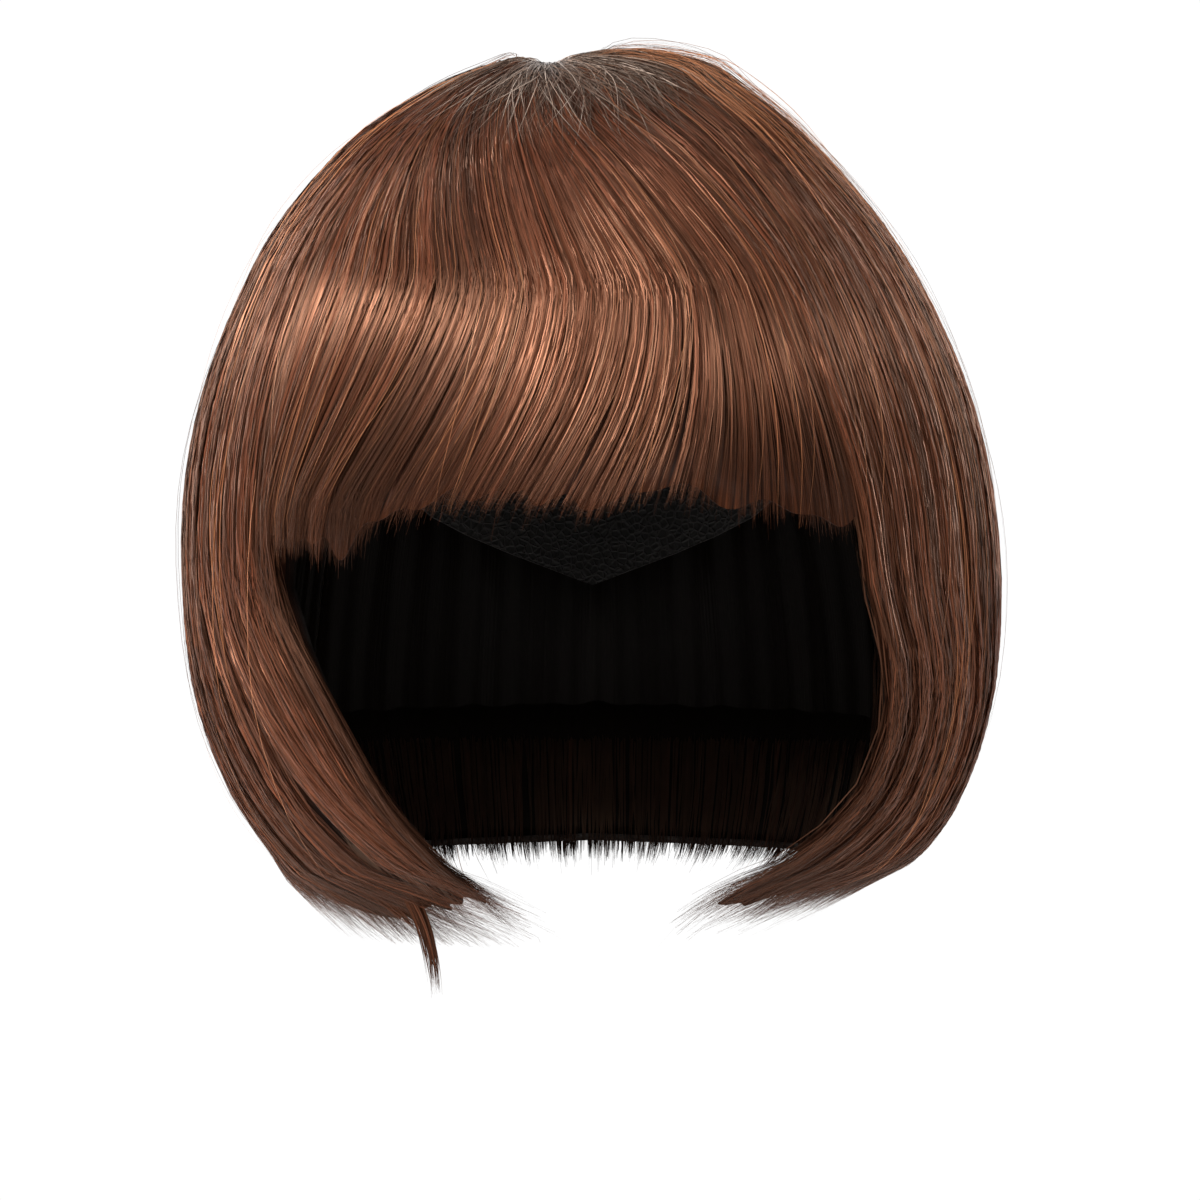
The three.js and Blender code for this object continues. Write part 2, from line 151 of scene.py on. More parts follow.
@dataclass(frozen=True)
class HairForm:
    """The bell-shaped outer surface of the hair over the cap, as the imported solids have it.

    A point is given by its angle round the parting, 0 at the front and 90 at the wearer's left,
    and by its station down the strand, from 0 at the parting to about 13.5 at the hem.
    """

    head_half_breadth: float = 77.0
    head_half_length: float = 97.0
    head_dome_height: float = 85.0
    nape_inset: float = 17.0
    nape_drop: float = 60.0
    cap_wall: float = 1.5
    cap_gap: float = 1.0
    crown_depth: float = 7.2
    side_fullness: float = 36.0
    front_fullness: float = 11.0
    back_fullness: float = 24.0
    hair_drop: float = 229.0
    hem_depth: float = 3.2
    parting_sink: float = 5.4
    parting_offset: float = 12.0
    parting_half_width: float = 8.0
    parting_front: float = 34.0
    parting_back: float = 24.0
    fringe_left: float = 36.0
    fringe_right: float = -49.0
    side_back: float = 122.0

    @property
    def half_width(self) -> float:
        """Half the width of the hair at its widest."""
        return self.head_half_breadth + self.side_fullness

    @property
    def front_reach(self) -> float:
        """How far the hair reaches in front of the head's middle."""
        return self.head_half_length + self.front_fullness

    @property
    def back_reach(self) -> float:
        """How far the hair reaches behind the head's middle."""
        return self.head_half_length + self.back_fullness

    @property
    def top(self) -> float:
        """The height of the top of the hair."""
        return self.cap_wall + self.crown_depth

    @property
    def rows(self) -> Curve:
        """The surface by station: drop and dips in shares of hair_drop, the rest in shares of
        the half width (side, shift), the front reach and the back reach."""
        parting = (
            0, self.parting_sink / self.hair_drop, 0.022, 0.011,
            self.parting_half_width / self.half_width, -self.parting_offset / self.half_width,
            self.parting_front / self.front_reach, self.parting_back / self.back_reach,
        )  # fmt: skip
        return Curve.through([
            parting,
            (1, 0.002, 0.037, 0.017, 0.140, -0.050, 0.389, 0.281),
            (2, 0.017, 0.046, 0.032, 0.272, 0.010, 0.500, 0.446),
            (3, 0.047, 0.059, 0.060, 0.391, -0.012, 0.630, 0.612),
            (4, 0.103, 0.063, 0.072, 0.555, -0.027, 0.778, 0.760),
            (5, 0.197, 0.052, 0.070, 0.725, -0.028, 0.889, 0.884),
            (6, 0.290, 0.041, 0.059, 0.838, -0.021, 0.954, 0.955),
            (7, 0.403, 0.026, 0.039, 0.933, -0.015, 0.991, 0.992),
            (8, 0.520, 0.009, 0.009, 0.986, -0.009, 1.000, 1.000),
            (9, 0.646, 0.000, 0.000, 1.000, 0.000, 0.972, 0.983),
            (10, 0.777, 0.000, 0.000, 0.975, 0.005, 0.926, 0.926),
            (11, 0.890, 0.000, 0.000, 0.894, 0.012, 0.852, 0.818),
            (12, 0.964, 0.000, 0.000, 0.792, 0.010, 0.741, 0.694),
            (13, 1.000, 0.000, 0.000, 0.705, -0.030, 0.630, 0.579),
            (14, 1.065, 0.000, 0.000, 0.520, -0.080, 0.463, 0.430),
        ])  # fmt: skip

    def point(self, degrees: Array, station: Array) -> Array:
        """Gives points of the outer surface.

        Across and ahead are the sine and cosine of the angle. Each station is an oval: side
        times across, and the mean of front and back reach times ahead. It is shifted sideways by
        across squared, and it dips by ahead squared.

        Args:
            degrees: angles round the parting.
            station: stations down the strand.

        Returns:
            Points in millimetres, in one more axis.
        """
        degrees, station = np.broadcast_arrays(degrees, station)
        drop, front_dip, back_dip, side, shift, front, back = np.moveaxis(self.rows(station), -1, 0)
        across, ahead = np.sin(np.radians(degrees)), np.cos(np.radians(degrees))
        lean = -self.parting_offset * (1 - smooth(station, 0, HANG_STATION))
        front, back = front * self.front_reach, back * self.back_reach
        dip = np.where(ahead > 0, front_dip, back_dip)
        return np.stack(
            [
                self.half_width * (side * across + shift * across**2) + lean * ahead**2,
                (back - front) / 2 - (back + front) / 2 * ahead,
                self.top - self.hair_drop * (drop + dip * ahead**2),
            ],
            axis=-1,
        )

    def outward(self, degrees: Array, station: Array) -> Array:
        """Gives the outward unit normal, the cross product of the ways down and round."""
        step = 0.05
        station = np.clip(station, step, LAST_STATION - step)
        along = self.point(degrees, station + step) - self.point(degrees, station - step)
        around = self.point(degrees + 1.0, station) - self.point(degrees - 1.0, station)
        return unit(np.cross(along, around))

    def on_head(self, points: Array, grown: float) -> Array:
        """Moves points onto the head's oval form, grown by a distance, in line with its middle."""
        middle = np.array([0.0, 0.0, -self.head_dome_height])
        reach = points - middle
        reach[..., 2] = np.maximum(reach[..., 2], 0.0)
        below = np.clip((-self.head_dome_height - points[..., 2]) / self.nape_drop, 0, 1)
        inset = np.where(points[..., 1] > 0, self.nape_inset * below**2, 0.0)
        half = np.stack(
            [
                np.full(below.shape, self.head_half_breadth + grown),
                self.head_half_length + grown - inset,
                np.full(below.shape, self.head_dome_height + grown),
            ],
            axis=-1,
        )
        share = np.linalg.norm(reach / half, axis=-1, keepdims=True)
        return points + reach * (1 / share - 1)

    def cap_edge(self, degrees: Array) -> Array:
        """Finds by halving the station at which the hair passes the edge of the cap."""
        drop = Curve.through([
            (0, 0.68), (35, 0.75), (60, 0.98), (78, 1.32),
            (94, 1.32), (115, 1.14), (145, 1.40), (180, 1.62),
        ])  # fmt: skip
        turn = np.abs((degrees + 180.0) % 360.0 - 180.0)
        height = -self.head_dome_height * drop(turn)[..., 0]
        above, below = np.zeros_like(height), np.full_like(height, HANG_STATION + 1)
        for _ in range(16):
            station = (above + below) / 2
            higher = self.on_head(self.point(degrees, station), self.cap_wall)[..., 2] > height
            above, below = np.where(higher, station, above), np.where(higher, below, station)
        return above

    def wall(self, degrees: Array, station: Array, hem: Array) -> tuple[Array, Array]:
        """Gives the hair's outer point and the one under it on its inner face.

        Over the cap the inner point lies on the grown head form. Below the cap's edge the depth
        goes from what it is there to the depth at the hem, and its direction from the one
        towards the head to the inward normal.
        """
        outer = self.point(degrees, station)
        edge = self.cap_edge(degrees)
        at_edge = self.point(degrees, edge)
        grown = self.cap_wall + self.cap_gap
        full = np.linalg.norm(at_edge - self.on_head(at_edge, grown), axis=-1)
        free = np.clip((station - edge) / (hem - edge), 0, 1)[..., None]
        towards = np.array([0.0, 0.0, -self.head_dome_height]) - outer
        towards[..., 2] = np.minimum(towards[..., 2], 0.0)
        inward = unit(mix(unit(towards), -self.outward(degrees, station), free))
        hanging = outer + inward * mix(full[..., None], self.hem_depth, free)
        over_cap = (station <= edge)[..., None]
        return outer, np.where(over_cap, self.on_head(outer, grown), hanging)

    def edges(self, section: Section, station: Array) -> tuple[Array, Array]:
        """Gives the two angles between which a section lies, at each station."""
        curtains = Curve.through([
            (9, self.fringe_left, self.fringe_right),
            (10, 46, -39), (11, 48, -33), (12, 43, -27), (13, 39, -23), (14, 36, -21),
        ])  # fmt: skip
        left, right = np.moveaxis(curtains(station), -1, 0)
        even = np.ones_like(left)
        return {
            Section.FRINGE: (self.fringe_right * even, self.fringe_left * even),
            Section.LEFT: (left, self.side_back * even),
            Section.RIGHT: (-self.side_back * even, right),
            Section.BACK: (self.side_back * even, (360 - self.side_back) * even),
        }[section]

    def degrees(self, section: Section, share: Array, station: Array) -> Array:
        """Gives the angle at a share of a section's breadth, at each station."""
        low, high = self.edges(section, station)
        return mix(low, high, share)

    def hem(self, section: Section, degrees: Array) -> Array:
        """Gives the station at which the hair of a section ends."""
        if section is Section.FRINGE:
            brow = Curve.through([
                (-49, 8.58), (-42, 8.60), (-36, 8.70), (-31, 8.46), (-20, 8.18), (-8, 8.18),
                (-1, 8.28), (7, 8.10), (18, 8.20), (26, 8.30), (36, 8.42),
            ])  # fmt: skip
            return brow(degrees)[..., 0]
        jaw = Curve.through([
            (-180, 12.50), (-122, 12.80), (-90, 13.35), (-75, 13.60), (-50, 13.95), (-25, 13.30),
            (40, 13.45), (60, 13.42), (90, 13.20), (122, 12.80), (180, 12.50),
        ])  # fmt: skip
        return jaw((degrees + 180.0) % 360.0 - 180.0)[..., 0]

    def settled(self, degrees: Array, station: Array) -> Array:
        """Gives how far the hair has settled beside the parting, most on the wearer's right."""
        off = ((degrees + 270.0) % 360.0 - 180.0) / 50.0
        return 2.9 * np.exp(-(off**2)) * smooth(station, 0.1, 0.8) * (1 - smooth(station, 1.3, 2.8))

    def spread_roots(self, draw: Array, last: float) -> Array:
        """Spreads roots down the stations so that the hair is equally thick everywhere.

        The number of strands that pass a station is in proportion to the girth there.

        Args:
            draw: even random numbers from 0 to 1.
            last: the station by which all strands have started.

        Returns:
            The station of each root.
        """
        stations = np.linspace(0, last, 25)
        ring = self.point(np.linspace(-180, 180, 73)[:, None], stations[None, :])
        girth = np.linalg.norm(np.diff(ring, axis=0), axis=-1).sum(axis=0)
        return np.interp(draw, np.maximum.accumulate(girth) / girth.max(), stations)


def add_node(
    tree: bpy.types.NodeTree,
    kind: str,
    settings: Mapping[str, object] | None = None,
    inputs: Mapping[str | int, object] | None = None,
    output: str | int = 0,
) -> bpy.types.NodeSocket | None:
    """Adds a node to a material.

    Args:
        tree: the material's node tree.
        kind: the node's type name, without its ShaderNode prefix.
        settings: properties to set on the node.
        inputs: for each input, the value to set on it or the output socket to link to it.
        output: the output that is wanted.

    Returns:
        The socket of that output, or None for a node without any.
    """
    node = tree.nodes.new(f"ShaderNode{kind}")
    for name, value in (settings or {}).items():
        setattr(node, name, value)
    for name, value in (inputs or {}).items():
        if isinstance(value, bpy.types.NodeSocket):
            tree.links.new(value, node.inputs[name])
        else:
            node.inputs[name].default_value = value
    return node.outputs[output] if node.outputs else None


def set_ramp(colour: bpy.types.NodeSocket, stops: Sequence[tuple[float, str]]) -> None:
    """Gives a colour ramp its stops, as places from 0 to 1 with hex colours."""
    ramp = colour.node.color_ramp
    while len(ramp.elements) < len(stops):
        ramp.elements.new(1.0)
    for element, (place, shade) in zip(ramp.elements, stops):
        element.position = place
        element.color = linear(shade)


def new_material(name: str) -> tuple[bpy.types.Material, bpy.types.NodeTree]:
    """Makes an empty node material."""
    material = bpy.data.materials.new(name)
    material.use_nodes = True
    material.node_tree.nodes.clear()
    return material, material.node_tree


def finish_material(tree: bpy.types.NodeTree, inputs: Mapping[str, object]) -> None:
    """Adds the Principled shader with these inputs, and the material's output."""
    shader = add_node(tree, "BsdfPrincipled", inputs=inputs)
    add_node(tree, "OutputMaterial", inputs={"Surface": shader})


@dataclass(frozen=True)
class FibreFinish:
    """Heat-set synthetic hair fibre, drawn smooth: a coloured, slightly glossy filament.

    The gloss is long across a lock and short along it, so the light lies in a band round the
    head. Each strand carries its own tone, and the roots are ashier than the lengths.
    """

    name: str
    shadow: str
    middle: str
    light: str
    root: str
    root_reach: float = 0.12  # share of a strand's length over which the ash fades
    root_share: float = 0.6
    roughness: float = 0.36
    roughness_spread: float = 0.14
    tint: str = "#FFD2B0"

    def material(self) -> bpy.types.Material:
        """Makes the material for strands, which reads their tone and their place along."""
        material, tree = new_material(self.name)
        tone, along = (
            add_node(tree, "Attribute", {"attribute_name": name}, output="Fac")
            for name in ("tone", "along")
        )
        ramp = add_node(tree, "ValToRGB", inputs={"Fac": tone})
        set_ramp(ramp, [(0.0, self.shadow), (0.5, self.middle), (1.0, self.light)])
        ashy = add_node(tree, "MapRange", {"interpolation_type": "SMOOTHSTEP"}, {
            "Value": along, "From Max": self.root_reach, "To Min": self.root_share, "To Max": 0.0,
        })  # fmt: skip
        colour = add_node(
            tree, "Mix", MIX_COLOURS, {0: ashy, MIX_A: ramp, MIX_B: linear(self.root)}, MIX_RESULT
        )
        spread = self.roughness_spread / 2
        rough = add_node(tree, "MapRange", inputs={
            "Value": tone, "To Min": self.roughness + spread, "To Max": self.roughness - spread,
        })  # fmt: skip
        finish_material(tree, {
            "Base Color": colour, "Roughness": rough, "IOR": FIBRE_IOR, "Anisotropic": 0.8,
            "Specular Tint": linear(self.tint), "Tangent": add_node(tree, "Tangent", ALONG_MAP),
        })  # fmt: skip
        return material


@dataclass(frozen=True)
class LockFinish:
    """The same fibre packed in a lock: streaks of strands too many to be drawn one by one."""

    name: str
    # painted shade: the dark between the streaks
    gap_shade: str
    fibre: str
    # the near-black painted shade of the inner face and of shaded places
    inside: str = "#060403"
    streak: float = 0.9  # mm from one streak to the next, coarser than the fibre so as to show
    streak_length: float = 60.0  # mm
    roughness: float = 0.55
    bump: float = 0.4  # mm

    def material(self) -> bpy.types.Material:
        """Makes the material, whose streaks follow the lock's own across and along, in mm."""
        material, tree = new_material(self.name)
        across, along, inner_shade = (
            add_node(tree, "Attribute", {"attribute_name": name}, output="Fac")
            for name in ("across_mm", "along_mm", "inner_shade")
        )
        place = add_node(tree, "VectorMath", {"operation": "MULTIPLY"}, {
            0: add_node(tree, "CombineXYZ", inputs={"X": across, "Y": along}),
            1: (1 / self.streak, 1 / self.streak_length, 0.0),
        })  # fmt: skip
        noise = add_node(tree, "TexNoise", None, {"Vector": place, "Scale": 1.0, "Detail": 3.0})
        ramp = add_node(tree, "ValToRGB", inputs={"Fac": noise})
        set_ramp(ramp, [(0.38, self.gap_shade), (0.72, self.fibre)])
        # painted shade: the more shaded a place, the more its streaks give way to the inside colour
        colours = {0: inner_shade, MIX_A: ramp, MIX_B: linear(self.inside)}
        colour = add_node(tree, "Mix", MIX_COLOURS, colours, MIX_RESULT)
        bump = add_node(
            tree, "Bump", inputs={"Height": noise, "Strength": 0.6, "Distance": self.bump * MM}
        )
        rough = add_node(tree, "MapRange", inputs={
            "Value": noise, "To Min": self.roughness + 0.1, "To Max": self.roughness - 0.1,
        })  # fmt: skip
        finish_material(tree, {
            "Base Color": colour, "Roughness": rough, "IOR": FIBRE_IOR, "Specular IOR Level": 0.05,
            "Anisotropic": 0.7, "Normal": bump, "Tangent": add_node(tree, "Tangent", ALONG_MAP),
        })  # fmt: skip
        return material


@dataclass(frozen=True)
class NetFinish:
    """Knitted stretch net of matt black nylon: a mesh of small cells with raised threads."""

    name: str
    thread: str
    hole: str
    cell: float = 2.0  # mm
    thread_edge: float = 0.2  # share of a cell at which its thread ends

    def material(self) -> bpy.types.Material:
        """Makes the material, whose cells are laid out in the object's own coordinates."""
        material, tree = new_material(self.name)
        place = add_node(tree, "TexCoord", output="Object")
        cells = add_node(
            tree, "TexVoronoi", {"feature": "DISTANCE_TO_EDGE"},
            {"Vector": place, "Scale": 1 / (self.cell * MM)},
        )  # fmt: skip
        ramp = add_node(tree, "ValToRGB", inputs={"Fac": cells})
        set_ramp(ramp, [(0.08, self.thread), (self.thread_edge, self.hole)])
        height, rough = (
            add_node(tree, "MapRange", inputs={
                "Value": cells, "From Max": self.thread_edge, "To Min": low, "To Max": high,
            })
            for low, high in ((1.0, 0.0), (0.7, 0.95))
        )  # fmt: skip
        bump = add_node(tree, "Bump", inputs={"Height": height, "Distance": 0.3 * MM})
        finish_material(tree, {"Base Color": ramp, "Roughness": rough, "Normal": bump})
        return material


@dataclass(frozen=True)
class PaperFinish:
    """Matt studio paper, pale grey in front and lit through from behind, as for a shot on white."""

    name: str
    colour: str = "#D8D7D5"
    glow: float = 0.14
    full_glow: float = 1.02
    lit_from: float = 0.3  # metres along Y at which it starts to be lit through
    lit_to: float = 1.4

    def material(self) -> bpy.types.Material:
        """Makes the material: along Y its own colour gives way to the light behind it."""
        material, tree = new_material(self.name)
        place = add_node(tree, "TexCoord", output="Object")
        depth = add_node(tree, "SeparateXYZ", inputs={"Vector": place}, output="Y")
        lit = add_node(
            tree, "MapRange", {"interpolation_type": "SMOOTHSTEP"},
            {"Value": depth, "From Min": self.lit_from, "From Max": self.lit_to},
        )  # fmt: skip
        colours = {0: lit, MIX_A: linear(self.colour), MIX_B: linear("#000000")}
        glow = add_node(
            tree, "MapRange", inputs={"Value": lit, "To Min": self.glow, "To Max": self.full_glow}
        )
        finish_material(tree, {
            "Base Color": add_node(tree, "Mix", MIX_COLOURS, colours, MIX_RESULT),
            "Roughness": 0.9, "Specular IOR Level": 0.0,
            "Emission Color": linear("#FFFFFF"), "Emission Strength": glow,
        })  # fmt: skip
        material.cycles.emission_sampling = "NONE"  # its glow is even, so it needs no aiming at
        return material


# Satin auburn strands that light up copper where they curve towards the light.
TOP_FIBRE = FibreFinish(
    "synthetic_fibre_auburn", shadow="#170B07", middle="#341C12", light="#5A3222", root="#453A33",
    tint="#F4AC86", root_reach=0.24,
)  # fmt: skip
# The same fibre painted darker and duller as shade, which reads as depth inside the bob.
UNDER_FIBRE = FibreFinish(
    "synthetic_fibre_auburn_painted_shade", shadow="#0A0504", middle="#150B08", light="#26150F",
    root="#150B08", roughness=0.42,
)  # fmt: skip
# Single hairs off the outline, painted a lighter copper for the glow of light through them.
STRAY_FIBRE = FibreFinish(
    "synthetic_fibre_painted_copper_glow", shadow="#3A2014", middle="#7C4D31", light="#AE7450",
    root="#6A4A38", roughness=0.4,
)  # fmt: skip
# Rooted fibre, printed ashy grey and fine, which makes the parting look grown.
ROOT_FIBRE = FibreFinish(
    "synthetic_fibre_ash_root", shadow="#241A15", middle="#4A3B33", light="#94857A",
    root="#3A2E28", roughness=0.45,
)  # fmt: skip
# Packed fibre between the strands: dull streaks, with painted shade between them, that keep the
# gaps dark and brown.
TOP_LOCK = LockFinish("packed_fibre_auburn", gap_shade="#1A0D08", fibre="#4A2818")
# The packed fibre painted darker as shade, for the under-layers.
UNDER_LOCK = LockFinish("packed_fibre_auburn_painted_shade", gap_shade="#080504", fibre="#1C100B")
# Matt black net that swallows the light, and fine lace, darkened to brown by painted shade, that
# shows between the roots.
CAP_NET = NetFinish("knitted_nylon_net", thread="#0D0B0A", hole="#040303")
PATCH_LACE = NetFinish("monofilament_lace_shaded_brown", thread="#3E2F27", hole="#1E1511", cell=1.0)


@dataclass
class MeshData:
    """The arrays of a mesh before Blender has it.

    Attributes:
        points: vertices in millimetres, n by 3.
        quads: vertex numbers, m by 4, outward side anticlockwise.
        atlas: each vertex's place on the atlas map, n by 2.
        values: named numbers, one for each vertex.
    """

    points: Array
    quads: Array
    atlas: Array
    values: dict[str, Array] = field(default_factory=dict)

    def to_object(self, name: str, material: bpy.types.Material) -> bpy.types.Object:
        """Puts the arrays into a mesh object at the origin, with smooth faces."""
        mesh = bpy.data.meshes.new(name)
        mesh.vertices.add(len(self.points))
        mesh.vertices.foreach_set("co", (self.points * MM).astype(np.float32).ravel())
        mesh.loops.add(self.quads.size)
        mesh.loops.foreach_set("vertex_index", self.quads.astype(np.int32).ravel())
        mesh.polygons.add(len(self.quads))
        mesh.polygons.foreach_set("loop_start", np.arange(0, self.quads.size, 4, dtype=np.int32))
        mesh.polygons.foreach_set("use_smooth", np.ones(len(self.quads), bool))
        uv = mesh.uv_layers.new(name=ATLAS_MAP)
        uv.uv.foreach_set("vector", self.atlas[self.quads.ravel()].astype(np.float32).ravel())
        for key, value in self.values.items():
            layer = mesh.attributes.new(key, "FLOAT", "POINT")
            layer.data.foreach_set("value", value.astype(np.float32).ravel())
        mesh.materials.append(material)
        mesh.update(calc_edges=True)
        mesh.validate()
        piece = bpy.data.objects.new(name, mesh)
        bpy.context.scene.collection.objects.link(piece)
        return piece


def strip_grid(rows: int, columns: int) -> Array:
    """Numbers the quads of a grid whose vertices run along its columns first."""
    first = np.arange(rows - 1)[:, None] * columns + np.arange(columns - 1)
    below = first + columns
    return np.stack([first, first + 1, below + 1, below], axis=-1).reshape(-1, 4)


@dataclass
class Strands:
    """Many thin ribbons, each a strand of hair with its own path, width, tone and turn.

    Attributes:
        path: points along each strand, n by m by 3, in mm.
        face: the way each of those points faces, n by m by 3.
        width: the width of each strand at its widest, n.
        tone: the tone of each strand from 0, dark, to 1, light, n or n by m.
        roll: how far each strand is turned about its own length, in radians.
        start: the share of a full strand's length at which each one begins.
    """

    path: Array
    face: Array
    width: Array
    tone: Array
    roll: Array
    start: Array | float = 0.0
    root_taper: float = 0.08  # share of its length over which a strand widens from its root
    tip_taper: float = 0.3  # and over which it narrows to its tip

    def mesh(self) -> MeshData:
        """Makes the ribbons.

        Across is the cross product of the way down and the way the strand faces, turned by the
        roll. The two edges lie half a width to either side, and the width narrows to the tip.
        Each ribbon has its own upright cell on the atlas, so its map is never shared.
        """
        count, steps, _ = self.path.shape
        down = unit(np.gradient(self.path, axis=1))
        across = unit(np.cross(down, self.face))
        roll = self.roll[:, None, None]
        across = across * np.cos(roll) + np.cross(across, down) * np.sin(roll)
        q = np.linspace(0, 1, steps)
        narrow = mix(0.12, 1.0, smooth(1 - q, 0, self.tip_taper))
        narrow = narrow * mix(0.5, 1.0, smooth(q, 0, self.root_taper))
        half = (self.width[:, None] * narrow / 2)[..., None] * across
        points = np.stack([self.path - half, self.path + half], axis=2)

        columns = math.ceil(math.sqrt(count * CELL_ASPECT))
        cell = np.stack([np.arange(count) % columns, np.arange(count) // columns], axis=-1)
        inside = np.stack(np.broadcast_arrays([0.2, 0.8], mix(0.06, 0.94, q)[:, None]), axis=-1)
        atlas = (cell[:, None, None, :] + inside) / [columns, math.ceil(count / columns)]

        first = (np.arange(count)[:, None] * steps + np.arange(steps - 1)) * 2
        quads = np.stack([first, first + 1, first + 3, first + 2], axis=-1)
        start = np.broadcast_to(self.start, (count,))[:, None, None]
        shape = (count, steps, 2)
        values = {
            "tone": np.broadcast_to(self.tone.reshape(count, -1, 1), shape).reshape(-1),
            "along": np.broadcast_to(mix(start, 1.0, q[:, None]), shape).reshape(-1),
        }
        return MeshData(points.reshape(-1, 3), quads.reshape(-1, 4), atlas.reshape(-1, 2), values)


def built_up(station: Array, start: float, over: float, power: float, most: float = 1.1) -> Array:
    """Gives how far a change has built up, to a power, upwards where over is less than 0."""
    return np.clip((station - start) / over, 0, most) ** power


# How far the hair is combed sideways: for each angle at the temple, the change of angle up at
# station 3, and in the fringe down at station 8.
COMB = Curve.through([
    (-180, 0, 0), (-122, 0, 0), (-90, 2, 0), (-70, 3, 0), (-60, 0, -2), (-52, -3, -3),
    (-44, -9, -5), (-36, -12, -9), (-28, -16, -12), (-21, -19, -13), (-14, -18, -12),
    (-8, -16, -11), (-2, -14, -11), (5, -14, -12), (12, -16, -11), (18, -15, -8), (24, -14, -3),
    (31, -11, 1), (39, -8, 4), (48, -1, 3), (59, -3, 0), (78, -6, 0), (100, -3, 0), (122, 0, 0),
    (180, 0, 0),
])  # fmt: skip


def comb(degrees: Array, station: Array, fringe: bool | Array) -> Array:
    """Gives how many degrees the hair is combed sideways."""
    upper, lower = np.moveaxis(COMB(degrees), -1, 0)
    above = upper * built_up(station, start=5.7, over=-2.7, power=1.3)
    return above + fringe * lower * built_up(station, start=5.6, over=2.4, power=1.6)


# How far the tips of a side sweep forward as they curl under: for each angle at the jaw, the
# change of angle at station 13, and a later one that turns the tips along the hem.
RIGHT_CURL = Curve.through([
    (-122, 0, 0), (-90, 3, 9), (-72, 5, 16), (-58, 4, 20), (-51, 7, 18), (-46, 13, 12),
    (-42, 14, 9), (-37, 9, 6), (-32, 4, 4), (-27, 0, 3),
])  # fmt: skip
LEFT_CURL = Curve.through([
    (43, -13, -3), (48, -13, -4), (53, -10, -7), (58, -6, -12), (64, -5, -15), (72, -6, -17),
    (85, -5, -13), (100, -3, -6), (122, 0, 0),
])  # fmt: skip


def clear_of_front(section: Section, share: Array, inset: float) -> Array:
    """Squeezes shares of a side's breadth so that an inset stays free at its front edge."""
    low = inset if section is Section.LEFT else 0.0
    high = 1 - inset if section is Section.RIGHT else 1.0
    return mix(low, high, share)


@dataclass
class Locks:
    """How the strands of a section gather into locks, as shares of its breadth."""

    count: int
    pull: float  # share of the way to the lock's middle that the most gathered are drawn
    starts: float  # station from which they are drawn
    ridge: float  # mm by which a lock's edges lie deeper than its crest, at the tips
    notch: float  # stations by which the strands at a lock's edges end higher

    def middles(self, rng: np.random.Generator, share: Array) -> tuple[Array, Array]:
        """Finds each strand's lock.

        Args:
            rng: the source of each lock's own place.
            share: the strands' shares of the breadth.

        Returns:
            The number of each strand's lock, and the share at its middle.
        """
        inner = np.arange(1, self.count) + rng.uniform(-0.35, 0.35, self.count - 1)
        bounds = np.sort(np.concatenate([[0, 1], inner / self.count]))
        number = np.clip(np.searchsorted(bounds, share, side="right") - 1, 0, self.count - 1)
        return number, (bounds[number] + bounds[number + 1]) / 2


